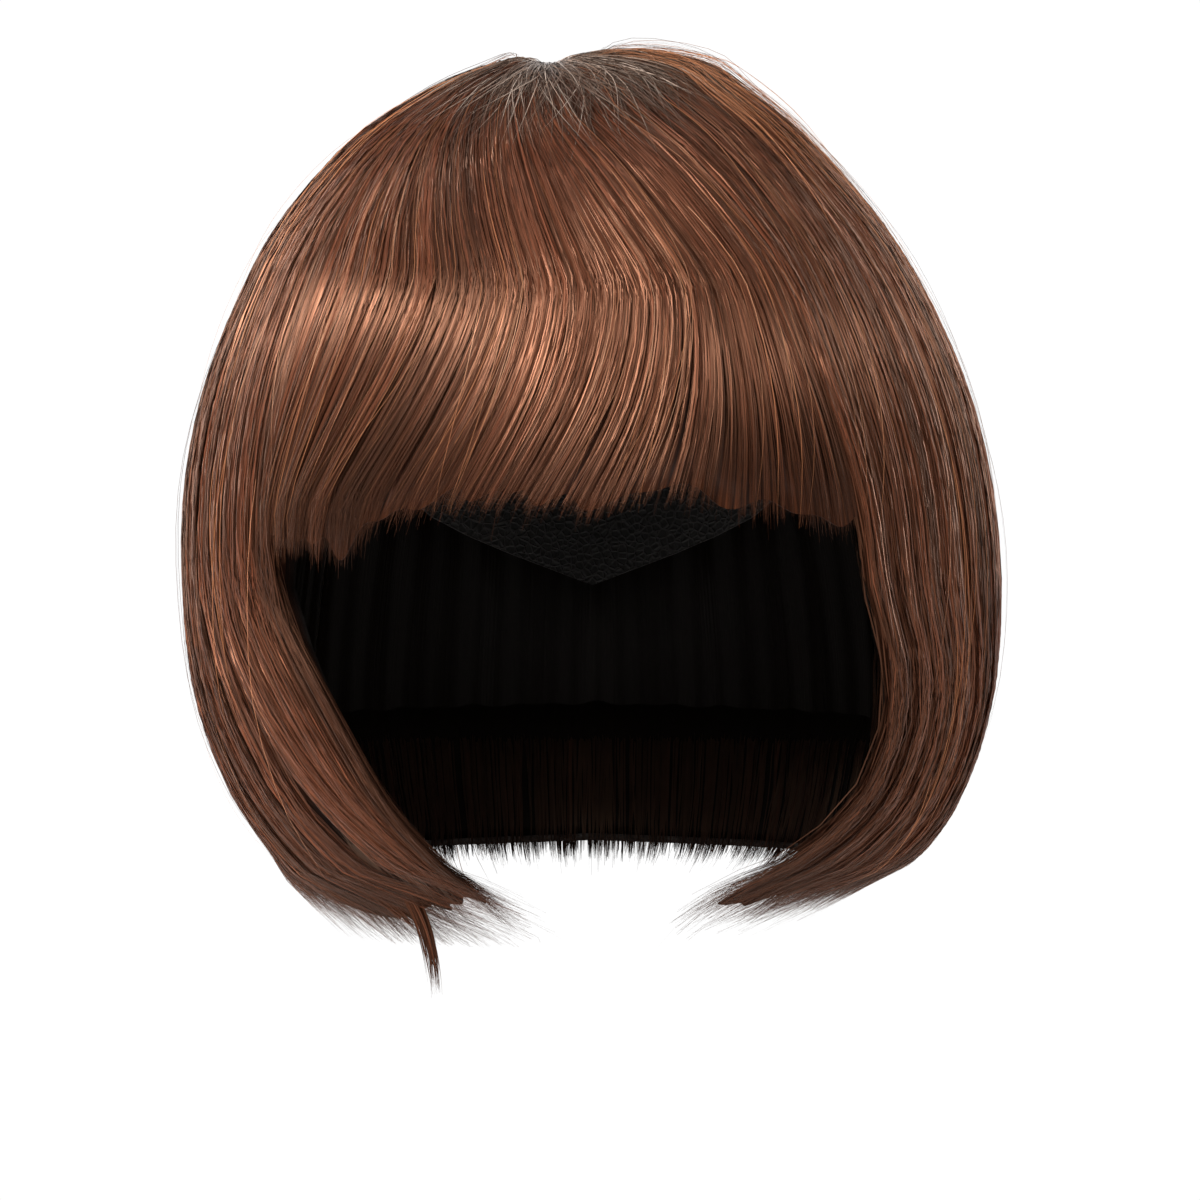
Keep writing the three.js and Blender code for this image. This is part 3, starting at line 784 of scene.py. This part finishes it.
@dataclass
class HairSection:
    """One section of hair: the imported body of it, and the loose strands that lie over it."""

    form: HairForm
    section: Section
    strands: int
    segments: int
    seed: int
    locks: tuple[Locks, ...]
    width: tuple[float, float] = (0.2, 0.42)  # mm
    depth: float = 3.4  # mm, of the layer of strands
    root_depth: float = 3.0  # mm, at which a strand that starts below the parting comes out
    rise: float = 1.4  # stations over which it comes up
    patch_lift: float = 3.2  # mm by which a strand rises at the parting itself
    last_root: float = 6.0
    ragged: float = 0.2  # stations by which tips differ
    body_sink: float = 2.4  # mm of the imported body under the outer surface
    body_stop: float = 0.6  # stations by which it ends above the hem
    corner_stop: float = 0.12  # and by which it does at a side's front corner
    body_sweep: float = 0.7  # share of the tips' sweep that it takes part in
    body_grid: tuple[int, int] = (140, 26)
    edge_inset: float = 0.035  # share of a side's breadth
    curl: Curve | None = None
    slit: float | None = None  # angle at the jaw at which two locks part over the body, painted dark there as shade
    slit_push: float = 2.3  # degrees by which they part

    def bend(self, degrees: Array, station: Array) -> Array:
        """Gives how many degrees the strands are combed sideways, out round the left cheek too."""
        aside = comb(degrees, station, self.section is Section.FRINGE)
        if self.section is not Section.LEFT:
            return aside
        near = np.exp(-np.clip(degrees - self.form.fringe_left, 0, None) / 16.0)
        return aside + 4.5 * near * smooth(station, 6.5, 9.0) * (1 - smooth(station, 9.0, 10.6))

    def swept(self, at_jaw: Array, station: Array) -> Array:
        """Gives how many degrees the tips of a side sweep forward."""
        if self.curl is None:
            return np.zeros(np.broadcast_shapes(at_jaw.shape, station.shape))
        early, late = np.moveaxis(self.curl(at_jaw), -1, 0)
        early = early * built_up(station, start=9.8, over=3.2, power=1.15)
        return early + late * built_up(station, start=12.0, over=1.4, power=2, most=1.2)

    def parted(self, at_jaw: Array, station: Array) -> tuple[Array, Array]:
        """Gives how far the slit pushes the strands aside, and how much painted shade it puts on
        the body.
        """
        if self.slit is None:
            none = np.zeros(np.broadcast_shapes(at_jaw.shape, station.shape))
            return none, none
        off = at_jaw - self.slit
        here = smooth(station, 10.2, 11.4) * (1 - smooth(station, 12.7, 13.3))
        push = self.slit_push * np.sign(off) * np.exp(-np.abs(off) / 3.0) * here
        return push, np.exp(-((off / 2.4) ** 2)) * here

    def shade(self, at_jaw: Array, station: Array) -> Array:
        """Gives how much painted shade darkens the hair: towards the fringe's tips, lower down, and
        at a side's front edge.
        """
        if self.section is Section.FRINGE:
            return 0.34 * smooth(station, 6.6, 8.4) + 0 * at_jaw
        # painted shade: lower down, where less light falls, the hair is darker
        lower = 0.14 * smooth(station, 10.5, TIP_STATION)
        if self.section is Section.BACK:
            return lower + 0 * at_jaw
        left, right = self.form.edges(self.section, np.array(JAW_STATION))
        edge = at_jaw - left if self.section is Section.LEFT else right - at_jaw
        front = np.exp(-np.clip(edge, 0, None) / 4.0) * smooth(station, 8.2, 9.4)
        return lower + 0.42 * front

    def combed(self, rng: np.random.Generator) -> Strands:
        """Lays out the loose strands.

        A strand keeps its share of the section's breadth and runs down the stations. It is drawn
        towards the middle of its locks by lock.pull times the S of the way down, lies deeper at
        a lock's edges, and ends higher there.
        """
        count, form = self.strands, self.form
        share = (np.arange(count) + rng.uniform(0, 1, count)) / count
        root = form.spread_roots(rng.uniform(0, 1, count), self.last_root)
        q = np.linspace(0, 1, self.segments + 1)[None, :]
        tier = rng.uniform(0, 1, count) ** 1.4
        at_jaw = form.degrees(self.section, share, np.full(count, JAW_STATION))
        last = at_jaw + self.bend(at_jaw, np.full(count, HANG_STATION))
        tip = form.hem(self.section, last + self.swept(at_jaw, np.full(count, TIP_STATION)))
        tip = tip + rng.normal(0, self.ragged, count) - 0.1 * tier
        # painted shade: the deeper a strand lies (its tier), the darker its tone
        tone = 0.66 - 0.42 * tier + rng.normal(0, 0.19, count)
        offsets = []
        for lock in self.locks:
            number, middle = lock.middles(rng, share)
            edge = np.clip(np.abs(share - middle) * lock.count * 2, 0, 1)
            tip = tip - lock.notch * edge**1.5
            # painted shade: strands at a lock's edge, which lie deeper, are darker
            tone = tone + rng.normal(0, 0.09, lock.count)[number] - 0.06 * edge
            gathered = lock.pull * rng.uniform(0.25, 1.0, lock.count)[number]
            offsets.append((lock.starts, (middle - share) * gathered, lock.ridge * edge**2))
        station = mix(root[:, None], tip[:, None], q)
        drawn, deep = share[:, None], self.depth * tier[:, None]
        for starts, aside, ridge in offsets:
            far = smooth(station, starts, starts + 6.0)
            drawn, deep = drawn + aside[:, None] * far, deep + ridge[:, None] * far
        wander = rng.normal(0, 0.16, (count, 1)) * np.sin(
            2 * np.pi * (q * rng.uniform(0.6, 1.6, (count, 1)) + rng.uniform(0, 1, (count, 1)))
        )
        up = 1 - smooth(station - root[:, None], 0, self.rise)
        deep = mix(deep, self.root_depth, up * (root > 0.05)[:, None])
        degrees = form.degrees(self.section, drawn, station)
        deep = deep + form.settled(degrees, station)
        deep = deep - self.patch_lift * (1 - smooth(station, 0.0, 0.9)) * (root < 0.4)[:, None]
        at = form.degrees(self.section, drawn, np.full(station.shape, JAW_STATION))
        eager = rng.uniform(0.6, 1.08, (count, 1))
        degrees = degrees + self.bend(degrees, station) + wander * smooth(station, 1, 5)
        degrees = degrees + eager * self.swept(at, station) + self.parted(at, station)[0]
        face = form.outward(degrees, station)
        path = form.point(degrees, station) - face * deep[..., None]
        return Strands(
            path,
            face,
            rng.uniform(*self.width, count),
            # the tone, less the painted shade of the section
            np.clip(tone[:, None] - self.shade(at, station), 0, 1),
            rng.normal(0, 0.45, count),
            start=root / HANG_STATION,
        )

    def packed(self) -> MeshData:
        """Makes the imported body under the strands, a closed wall.

        The outer grid lies body_sink under the surface, and the inner one is the solid's own
        inner face. Rows run down the stations, and both thin to nothing at the tips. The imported
        body stays behind the front edge of a side, which loose strands cover.
        """
        columns, rows = self.body_grid
        way = np.linspace(0, 1, rows)[None, :]
        share = np.linspace(0.002, 0.998, columns)[:, None]
        share = clear_of_front(self.section, share, self.edge_inset)
        at_jaw = self.form.degrees(self.section, share, np.array([[JAW_STATION]]))
        low = at_jaw + self.bend(at_jaw, np.array([[HANG_STATION]]))
        low = low + self.body_sweep * self.swept(at_jaw, np.array([[TIP_STATION]]))
        hem = self.form.hem(self.section, low)
        corner = {
            Section.LEFT: 1 - smooth(at_jaw, 50, 75), Section.RIGHT: smooth(at_jaw, -65, -42),
        }.get(self.section, 0.0)  # fmt: skip
        uneven = (np.sin(61 * share) + np.sin(97 * share + 1)) * self.ragged / 2
        stop = mix(self.body_stop, self.corner_stop, corner) - uneven * (1 - 0.75 * corner)
        station = way * (np.minimum(hem, LOWEST_STATION) - stop)
        degrees = self.form.degrees(self.section, share, station)
        degrees = degrees + self.bend(degrees, station)
        degrees = degrees + self.body_sweep * self.swept(at_jaw, station)
        outer, inner = self.form.wall(degrees, station, hem)
        depth = np.linalg.norm(inner - outer, axis=-1, keepdims=True)
        thin = smooth(way, 0.75, 1.0)[..., None]
        sink = self.body_sink + self.form.settled(degrees, station)[..., None]
        sink = np.minimum(sink, depth * 0.6) / depth
        faces = [mix(outer, inner, mix(sink, 0.55, thin)), mix(outer, inner, mix(1.0, 0.75, thin))]
        # painted shade on the outer grid: under the slit, and 0.6 of the section's painted shade
        dark = self.parted(at_jaw, station)[1] + 0.6 * self.shade(at_jaw, station)
        return closed_wall(np.stack(faces), way, dark)


def closed_wall(points: Array, way: Array, dark: Array | float = 0.0) -> MeshData:
    """Joins an outer and an inner grid into one closed wall.

    Args:
        points: 2 by columns by rows by 3, the outer grid first, in mm.
        way: the share of the way down, for each row.
        dark: how much painted shade the outer grid takes, as a share of the way to the inner one's
            colour, from 0 to 1.

    Returns:
        The mesh, with each grid in its own half of the atlas.
    """
    _, columns, rows, _ = points.shape
    outer, inner = np.arange(2 * columns * rows).reshape(2, columns, rows)

    def between(a: Array, b: Array) -> Array:
        """Makes a strip of quads between two lines of vertices."""
        return np.stack([a[:-1], a[1:], b[1:], b[:-1]], axis=-1)

    grid = strip_grid(columns, rows)
    quads = np.concatenate([
        grid,
        grid[:, ::-1] + columns * rows,
        between(outer[:, 0], inner[:, 0])[:, ::-1],
        between(outer[:, -1], inner[:, -1]),
        between(outer[0], inner[0]),
        between(outer[-1], inner[-1])[:, ::-1],
    ])  # fmt: skip
    breadth = np.linalg.norm(np.diff(points, axis=1), axis=-1).sum(axis=1).max(axis=-1)
    falls = np.linalg.norm(np.diff(points, axis=2), axis=-1)
    along = np.concatenate([np.zeros((2, columns, 1)), np.cumsum(falls, axis=2)], axis=2)
    across = np.linspace(0, 1, columns)[None, :, None] + 0 * along
    halves = np.array([0.01, 0.51])[:, None, None]
    atlas = np.stack([across * 0.48 + halves, mix(0.01, 0.99, way) + 0 * along], axis=-1)
    # the inner grid is wholly painted shade, the near-black of a shaded inside
    inner_shade = np.stack([np.clip(dark + 0 * along[0], 0, 1), np.ones((columns, rows))])
    values = {"across_mm": across * breadth[:, None, None], "along_mm": along, "inner_shade": inner_shade}
    return MeshData(
        points.reshape(-1, 3),
        quads,
        atlas.reshape(-1, 2),
        {name: value.reshape(-1) for name, value in values.items()},
    )


@dataclass
class UnderLayer:
    """The hair that hangs from the lower edge of the cap, inside the top layer, darker with painted
    shade.
    """

    form: HairForm
    section: Section
    node: str
    first: float  # the station from which it hangs
    seed: int
    strands: int = 700
    segments: int = 10
    inset: float = 0.0  # share of the breadth left free at its front edge
    # painted shade: the under-layer's strands are darker in tone than the top's
    tone: float = 0.42
    share_of_depth: float = 0.5
    edge_share: float = 0.35  # of that depth, at a side's front edge
    edge_reach: float = 0.35  # share of the breadth over which a side thins to that
    body_grid: tuple[int, int] = (110, 14)

    def thinning(self, share: Array) -> Array:
        """Gives how much of the depth is left towards a side's front edge."""
        if self.section is Section.BACK:
            return np.ones_like(share)
        from_front = share if self.section is Section.LEFT else 1 - share
        return mix(self.edge_share, 1.0, smooth(from_front, 0, self.edge_reach))

    def degrees(self, share: Array, station: Array) -> Array:
        """Gives angles at shares of the breadth, clear of the top layer's front edge."""
        share = clear_of_front(self.section, share, self.inset)
        return self.form.degrees(self.section, share, station)

    def hem(self, share: Array) -> Array:
        """Gives the station at which the layer ends."""
        return self.form.hem(self.section, self.degrees(share, np.array([[JAW_STATION]])))

    def grid(self, share: Array, station: Array, hem: Array, face: Array) -> Array:
        """Gives points at a share of the layer's own depth, 0 on its outer face, 1 inside."""
        outer, inner = self.form.wall(self.degrees(share, station), station, hem)
        begins = 1 - self.share_of_depth * smooth(station, self.first, self.first + 1)
        kept = mix(begins, 1.0, self.thinning(share))
        return mix(outer, inner, mix(begins, kept, face)[..., None])

    def packed(self) -> MeshData:
        """Makes the layer's closed wall, from just below the cap's edge to the hem."""
        columns, rows = self.body_grid
        share = np.linspace(0.004, 0.996, columns)[:, None]
        way = np.linspace(0, 1, rows)[None, :]
        hem = self.hem(share)
        station = mix(self.first + 0.4, hem - 0.35, way)
        faces = (0.1 + 0 * way, mix(0.12, 1.0, smooth(way, 0, 0.4)))
        return closed_wall(np.stack([self.grid(share, station, hem, face) for face in faces]), way)

    def combed(self, rng: np.random.Generator) -> Strands:
        """Lays strands over the inner and outer face of the layer, with ragged tips."""
        each = (self.strands, 1)
        share = rng.uniform(0, 1, self.strands)[:, None]
        q = np.linspace(0, 1, self.segments + 1)[None, :]
        hem = self.hem(share)
        tip = hem + rng.normal(-0.05, 0.16, each)
        station = mix(rng.uniform(self.first + 0.2, self.first + 1.2, each), tip, q)
        face = np.where(rng.uniform(0, 1, each) < 0.5, 0.0, 1.0)
        wander = rng.normal(0, 0.004, each) * np.sin(3 * q + 9 * share)
        slope = smooth(station, self.first + 0.2, self.first + 1.8)
        path = self.grid(np.clip(share + wander, 0, 1), station, hem, face * slope)
        out = self.form.outward(self.degrees(share, station), station) * (1 - 2 * face)[..., None]
        return Strands(
            path + out * 0.35,
            out,
            rng.uniform(0.4, 0.8, self.strands),
            np.clip(self.tone + rng.normal(0, 0.2, self.strands), 0, 1),
            rng.normal(0, 0.35, self.strands),
            start=0.3,
        )


@dataclass
class LooseLock:
    """The lock that has slipped out and hangs below the hem on the wearer's right."""

    form: HairForm
    seed: int = 41
    strands: int = 130
    angle: float = -41.0
    station: float = 13.0
    sink: float = 4.5  # mm inside the hair at which it starts
    length: float = 25.0
    width: float = 4.6
    depth: float = 2.5
    fan: float = 0.8  # mm by which a tip strays
    bend: tuple[float, float, float] = (0.36, 0.0, -0.35)
    end: tuple[float, float, float] = (0.42, -0.05, -1.2)
    tone: float = 0.32

    def combed(self, rng: np.random.Generator) -> Strands:
        """Lays strands along a parabola through start, bend and end, gathered to a point.

        Each strand keeps its place in the lock's oval, which shrinks along the way as the square
        root of the share still to go.
        """
        each = (self.strands, 1, 1)
        place = np.array(self.angle), np.array(self.station)
        start = self.form.point(*place) - self.form.outward(*place) * self.sink
        bend, end = (start + np.array(v) * self.length for v in (self.bend, self.end))
        t = np.linspace(0, 1, 15)[None, :, None] * rng.uniform(0.55, 1.0, each) ** 0.6
        centre = (1 - t) ** 2 * start + 2 * t * (1 - t) * bend + t * t * end
        down = unit(np.gradient(centre, axis=1))
        side = unit(np.cross(down, np.array([0.0, -1.0, 0.0])))
        front = np.cross(side, down)
        turn = rng.uniform(0, 2 * np.pi, each)
        out = np.sqrt(rng.uniform(0, 1, each)) / 2
        size = np.sqrt(np.clip(1.02 - t, 0.02, 1.0)) * mix(0.5, 1.0, smooth(t, 0.0, 0.3))
        path = (
            centre
            + side * out * np.cos(turn) * size * self.width
            + front * out * np.sin(turn) * size * self.depth
            + rng.normal(0, self.fan, (self.strands, 1, 3)) * t**1.6
        )
        return Strands(
            path,
            -front,
            rng.uniform(0.18, 0.34, self.strands),
            np.clip(self.tone + rng.normal(0, 0.18, self.strands), 0, 1),
            rng.normal(0, 0.5, self.strands),
            start=0.6,
        )


@dataclass
class Strays:
    """Single hairs that have lifted off the surface."""

    form: HairForm
    seed: int
    count: int
    degrees: tuple[float, float]
    roots: tuple[float, float]
    length: tuple[float, float]  # stations
    lift: tuple[float, float]  # mm at the highest place
    drift: float = 3.0  # degrees sideways from root to tip
    width: tuple[float, float] = (0.1, 0.18)
    segments: int = 12

    def combed(self, rng: np.random.Generator) -> Strands:
        """Lays the hairs: out of the surface, over a low arc, and back towards it.

        The lift is its height times the sine of pi times the share of the way, to the power 0.8,
        so that a hair leaves the surface sooner than it comes back to it. Over the face a hair
        is darker, with half the tone and so less painted glow, and ends with the fringe.
        """
        each, form = (self.count, 1), self.form
        q = np.linspace(0, 1, self.segments + 1)[None, :]
        start = rng.uniform(*self.degrees, each)
        degrees = start + rng.normal(0, self.drift, each) * q**1.5
        last = degrees[:, -1:]
        in_fringe = (start > form.fringe_right) & (start < form.fringe_left)
        over_face = (np.abs(last + 2.0) < 54.0) | (np.abs(start + 2.0) < 50.0)
        lowest = np.where(over_face, form.hem(Section.FRINGE, last) + 0.1, LOWEST_STATION)
        tip = rng.uniform(*self.roots, each) + rng.uniform(*self.length, each)
        tip = np.minimum(tip, lowest)
        root = np.maximum(tip - rng.uniform(*self.length, each), self.roots[0])
        station = mix(root, tip, q)
        degrees = degrees + comb(degrees, station, in_fringe)
        out = form.outward(degrees, station)
        lift = rng.uniform(*self.lift, each) * np.sin(np.pi * q**0.8)
        free = rng.normal(0, 1, each) * 0.175 * np.abs(lift)
        return Strands(
            form.point(degrees + free, station) + out * (lift - 0.6)[..., None],
            out,
            rng.uniform(*self.width, self.count),
            rng.uniform(0.2, 1.0, self.count) * np.where(over_face[:, 0], 0.5, 1.0),
            rng.uniform(-0.8, 0.8, self.count),
            start=0.4,
        )


@dataclass
class CrownRoots:
    """The fine ashy roots that stand up out of the parting patch and fall away from it."""

    form: HairForm
    seed: int = 61
    count: int = 2600
    segments: int = 14
    stand: tuple[float, float] = (5.2, 7.8)  # mm by which the roots rise before they fall
    patch_top: float = 3.2  # mm of the patch's top over the head

    def combed(self, rng: np.random.Generator) -> Strands:
        """Lays the roots from their places on the patch over its rim and down the hair.

        The first part of the way is a straight line from the patch to the rim, and the corner is
        rounded by taking each point as the mean of itself and its neighbours several times.
        """
        each, form = (self.count, 1), self.form
        turn = rng.uniform(-180, 180, each)
        out = np.sqrt(rng.uniform(0.0, 1.0, each)) * 0.95
        rim = form.point(turn, np.zeros_like(turn))
        middle = form.point(np.array([-90.0, 90.0]), np.zeros(2)).mean(axis=0)
        patch = form.on_head(middle + (rim - middle) * out[..., None], self.patch_top)
        reach = rng.uniform(1.2, 3.2, each)
        q = np.linspace(0, 1, self.segments + 1)[None, :]
        over = np.clip((q - 0.2) / 0.8, 0, 1)
        degrees = turn + rng.normal(0, 16, each) * over
        station = 0.75 + over * reach
        normal = form.outward(degrees, station)
        lift = rng.uniform(-0.6, 1.3, each) * np.sin(np.pi * over) - form.settled(degrees, station)
        path = form.point(degrees, station) + normal * lift[..., None]
        rise = rng.uniform(*self.stand, each) * smooth(q, 0, 0.3)
        stand = patch + np.array([0.0, 0.0, 1.0]) * rise[..., None]
        path = mix(stand, path, smooth(q, 0.05, 0.5)[..., None])
        for _ in range(3):
            path[:, 1:-1] = (path[:, :-2] + 2 * path[:, 1:-1] + path[:, 2:]) / 4
        return Strands(
            path,
            normal,
            rng.uniform(0.1, 0.26, self.count),
            np.clip(rng.normal(0.4, 0.3, self.count), 0, 1),
            rng.normal(0, 0.6, self.count),
        )


@dataclass(frozen=True)
class SoftBox:
    """An oblong studio light that faces the middle of the hair. Lengths are in metres."""

    name: str
    place: tuple[float, float, float]
    size: tuple[float, float]
    watts: float
    colour: str = "#FFFFFF"
    aim: tuple[float, float, float] = (0.0, 0.0, -0.1)

    def hang(self) -> None:
        """Puts the light in the scene."""
        data = bpy.data.lights.new(self.name, "AREA")
        data.shape = "RECTANGLE"
        data.size, data.size_y = self.size
        data.energy = self.watts
        data.color = linear(self.colour)[:3]
        lamp = bpy.data.objects.new(self.name, data)
        lamp.location = self.place
        way = Vector(self.aim) - Vector(self.place)
        lamp.rotation_euler = way.to_track_quat("-Z", "Y").to_euler()
        bpy.context.scene.collection.objects.link(lamp)


SOFT_BOXES = (
    SoftBox("key_softbox", (-1.0, -1.1, 0.6), (1.3, 0.28), 53.0),
    SoftBox("top_softbox", (0.0, -0.5, 1.5), (0.9, 0.9), 5.5),
    SoftBox("fill_softbox", (1.15, -1.1, 0.62), (0.8, 0.3), 15.0),
    SoftBox("rim_left", (1.3, 0.9, 0.5), (0.4, 1.4), 18.0, "#FFDCC2"),
    SoftBox("rim_right", (-1.3, 0.9, 0.5), (0.4, 1.4), 18.0, "#FFDCC2"),
)


@dataclass
class Studio:
    """The pale floor, the soft lights and the camera, in metres."""

    floor_height: float = -0.46
    floor_radius: float = 3.4
    bend_radius: float = 0.9
    wall_height: float = 3.2
    eye: tuple[float, float, float] = (0.0022, -1.7, -0.142)
    frame_width: float = 0.330  # what the camera sees across, level with the origin
    sensor: float = 36.0  # mm
    surround: float = 0.12

    def floor(self) -> None:
        """Makes a round floor that curves up into a wall, as a studio's paper does.

        It is a profile turned about Z: flat out to the radius, a quarter circle, then upright.
        """
        flat = np.linspace(0.001, self.floor_radius, 8)[:-1]
        angle = np.linspace(0, np.pi / 2, 24)
        curve = self.floor_radius + self.bend_radius * np.sin(angle)
        radius = np.concatenate([flat, curve, [self.floor_radius + self.bend_radius]])
        bend = self.bend_radius * (1 - np.cos(angle))
        height = np.concatenate([0 * flat, bend, [self.wall_height]])
        turn = np.linspace(0, 2 * np.pi, 97)[:, None]
        rise = self.floor_height + height + 0 * turn
        points = np.stack([radius * np.cos(turn), radius * np.sin(turn), rise], axis=-1)
        quads = strip_grid(len(turn), len(radius))[:, ::-1]
        data = MeshData(points.reshape(-1, 3) / MM, quads, np.zeros((rise.size, 2)))
        data.to_object("studio_floor", PaperFinish("studio_paper").material())

    def camera(self) -> None:
        """Stands the camera level in front, with the photograph's framing."""
        data = bpy.data.cameras.new("camera")
        data.sensor_width = self.sensor
        data.lens = self.sensor * -self.eye[1] / self.frame_width
        data.clip_start, data.clip_end = 0.05, 30.0
        camera = bpy.data.objects.new("camera", data)
        camera.location = self.eye
        camera.rotation_euler = (math.pi / 2, 0.0, 0.0)
        bpy.context.scene.collection.objects.link(camera)
        bpy.context.scene.camera = camera

    def build(self) -> None:
        """Sets up the whole studio, with a white surround that fills the shadows a little."""
        scene = bpy.context.scene
        world = bpy.data.worlds.new("studio_surround")
        world.use_nodes = True
        surround = world.node_tree.nodes["Background"]
        surround.inputs["Color"].default_value = linear("#FFFFFF")
        surround.inputs["Strength"].default_value = self.surround
        scene.world = world
        scene.view_settings.view_transform = "Standard"
        self.floor()
        self.camera()
        for box in SOFT_BOXES:
            box.hang()


def place_piece(piece: bpy.types.Object, slot: str, *nodes: str) -> None:
    """Hangs a piece on the wig, in place of any nodes."""
    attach(piece, BODY)
    if nodes:
        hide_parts(*nodes)
    faces = len(piece.data.polygons)
    LOG.info("%s: %d quads, %s", piece.name, faces, f"in place of {nodes}" if nodes else "added")


def place_strands(
    part: HairSection | UnderLayer | LooseLock | CrownRoots | Strays,
    name: str,
    material: bpy.types.Material,
    slot: str,
) -> None:
    """Combs the strands of a part with its own seed, and hangs them on the wig as one piece."""
    strands = part.combed(np.random.default_rng(part.seed)).mesh()
    place_piece(strands.to_object(name, material), slot)


@dataclass
class BobWig:
    """The whole wig: four sections of top hair, three under-layers, the crown and the strays."""

    form: HairForm = field(default_factory=HairForm)

    def sections(self) -> list[HairSection]:
        """Lists the sections of top hair with their counts of strands and their locks."""
        side_locks = (Locks(14, 0.25, 5.0, 0.9, 0.22), Locks(60, 0.35, 4.0, 0.45, 0.14))
        fringe_locks = (Locks(13, 0.14, 3.5, 0.8, 0.05), Locks(80, 0.36, 3.0, 0.5, 0.07))
        return [
            HairSection(
                self.form, Section.FRINGE, 7000, 14, 11, fringe_locks,
                last_root=5.5, body_stop=0.06, ragged=0.1,
            ),
            HairSection(self.form, Section.LEFT, 5000, 18, 12, side_locks, curl=LEFT_CURL),
            HairSection(
                self.form, Section.RIGHT, 5000, 18, 13, side_locks, ragged=0.3,
                curl=RIGHT_CURL, slit=-48.5,
            ),
            HairSection(self.form, Section.BACK, 5000, 18, 14, side_locks),
        ]  # fmt: skip

    def under_layers(self) -> list[UnderLayer]:
        """Lists the under-layers."""
        return [
            UnderLayer(self.form, Section.LEFT, "under_left", 8.0, 21, inset=0.05),
            UnderLayer(self.form, Section.RIGHT, "under_right", 8.0, 22, inset=0.05),
            # the back's under-layer has more painted shade still
            UnderLayer(self.form, Section.BACK, "under_back", 9.0, 23, strands=900, tone=0.2),
        ]

    def loose_locks(self) -> dict[str, LooseLock]:
        """Lists the lock that has slipped out and the thinner wisps beside it."""
        return {
            "loose_lock_strands": LooseLock(self.form),
            "loose_wisp_strands": LooseLock(
                self.form, 42, 26, angle=-48.0, station=13.0, length=17.0, width=8.0, fan=1.2,
                bend=(0.4, 0.0, -0.4), end=(0.9, 0.0, -0.8), tone=0.2,
            ),
        }

    def strays(self) -> dict[str, Strays]:
        """Lists the groups of stray hairs."""
        return {
            "strays_all_round": Strays(
                self.form, 31, 420, (-180, 180),
                roots=(0.5, 9.0), length=(2.0, 5.0), lift=(0.5, 2.4),
            ),
            "strays_crown_arc": Strays(
                self.form, 32, 115, (50, 86),
                roots=(0.3, 1.6), length=(3.0, 4.4), lift=(1.8, 5.2),
            ),
        }  # fmt: skip

    def build(self) -> None:
        """Makes every piece of the wig."""
        top, packed = TOP_FIBRE.material(), TOP_LOCK.material()
        under, under_packed = UNDER_FIBRE.material(), UNDER_LOCK.material()
        for part in self.sections():
            node = part.section.value
            place_piece(part.packed().to_object(f"{node}_body", packed), "top_hair", node)
            place_strands(part, f"{node}_strands", top, "top_hair")
        for layer in self.under_layers():
            body = layer.packed().to_object(f"{layer.node}_body", under_packed)
            place_piece(body, "under_hair", layer.node)
            place_strands(layer, f"{layer.node}_strands", under, "under_hair")
        for name, lock in self.loose_locks().items():
            place_strands(lock, name, top, "top_hair")
        place_strands(CrownRoots(self.form), "crown_roots", ROOT_FIBRE.material(), "top_hair")
        # strays painted a lighter copper for the glow of light through them
        copper = STRAY_FIBRE.material()
        for name, group in self.strays().items():
            place_strands(group, name, copper, "top_hair")


def dress_node(solid: bpy.types.Object, finish: NetFinish) -> None:
    """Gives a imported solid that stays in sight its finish."""
    solid.data.materials.clear()
    solid.data.materials.append(finish.material())
    LOG.info("%s: finished as %s", solid.name, finish.name)


def main() -> None:
    """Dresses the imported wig."""
    logging.basicConfig(level=logging.INFO, format="%(name)s: %(message)s")
    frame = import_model()
    Studio().build()
    dress_node(frame["nodes"]["cap"], CAP_NET)
    dress_node(frame["nodes"]["parting_patch"], PATCH_LACE)
    BobWig().build()
    bpy.context.view_layer.update()


if __name__ == "__main__":
    main()
